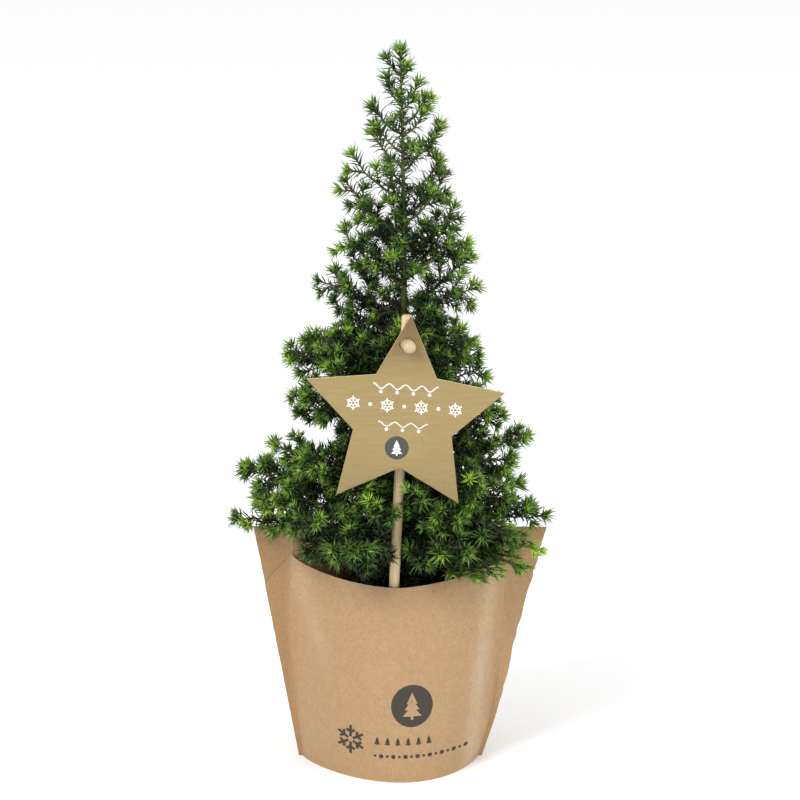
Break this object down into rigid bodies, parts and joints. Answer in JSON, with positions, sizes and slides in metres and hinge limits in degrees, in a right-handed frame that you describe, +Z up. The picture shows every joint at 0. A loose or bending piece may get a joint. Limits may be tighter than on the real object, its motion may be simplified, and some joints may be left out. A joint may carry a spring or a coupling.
{
  "type": "miniature potted christmas tree",
  "caption": "Small living conifer in a hidden pot inside a kraft paper stand-up bag, with a card star pegged to a wooden dowel; stands on its flat round base.",
  "frame": {"origin": "middle of the flat underside of the bag, on the surface it stands on", "axes": "+Z up, +X to the right seen from the front, +Y to the back"},
  "size_m": [0.1625, 0.1149, 0.3663],
  "materials": {
    "kraft_paper": "matt kraft paper with a faint sheen",
    "pot_plastic": "matt",
    "compost": "damp crumbs",
    "dowel_wood": "plain",
    "gold_card": "satin",
    "peg_wood": "plain",
    "bark": "rough",
    "needles": "satin needles"
  },
  "bodies": {
    "root": {"bag_back": "kraft_paper", "bag_base": "kraft_paper", "bag_front": "kraft_paper", "bough_tier_10_left": "bark", "bough_tier_10_right": "bark", "bough_tier_3_left": "bark", "bough_tier_3_right": "bark", "bough_tier_4_left": "bark", "bough_tier_4_right": "bark", "bough_tier_5_left": "bark", "bough_tier_5_right": "bark", "bough_tier_6_left": "bark", "bough_tier_6_right": "bark", "bough_tier_7_left": "bark", "bough_tier_7_right": "bark", "bough_tier_8_left": "bark", "bough_tier_8_right": "bark", "bough_tier_9_left": "bark", "bough_tier_9_right": "bark", "dowel": "dowel_wood", "foliage_inside_bag_left": "needles", "foliage_inside_bag_right": "needles", "foliage_spire_left": "needles", "foliage_spire_right": "needles", "foliage_tier_10_left": "needles", "foliage_tier_10_right": "needles", "foliage_tier_11_back_left": "needles", "foliage_tier_11_back_right": "needles", "foliage_tier_11_front_left": "needles", "foliage_tier_11_front_right": "needles", "foliage_tier_11_left": "needles", "foliage_tier_11_right": "needles", "foliage_tier_2_left": "needles", "foliage_tier_2_right": "needles", "foliage_tier_3_front": "needles", "foliage_tier_3_left": "needles", "foliage_tier_3_right": "needles", "foliage_tier_4_left": "needles", "foliage_tier_4_right": "needles", "foliage_tier_5_back": "needles", "foliage_tier_5_front": "needles", "foliage_tier_5_left": "needles", "foliage_tier_5_right": "needles", "foliage_tier_6_left": "needles", "foliage_tier_6_right": "needles", "foliage_tier_7_back": "needles", "foliage_tier_7_left": "needles", "foliage_tier_7_right": "needles", "foliage_tier_8_left": "needles", "foliage_tier_8_right": "needles", "foliage_tier_9_back": "needles", "foliage_tier_9_front": "needles", "foliage_tier_9_left": "needles", "foliage_tier_9_right": "needles", "peg": "peg_wood", "pot": "pot_plastic", "root_ball": "compost", "star": "gold_card", "trunk": "bark"}
  },
  "joints": []
}
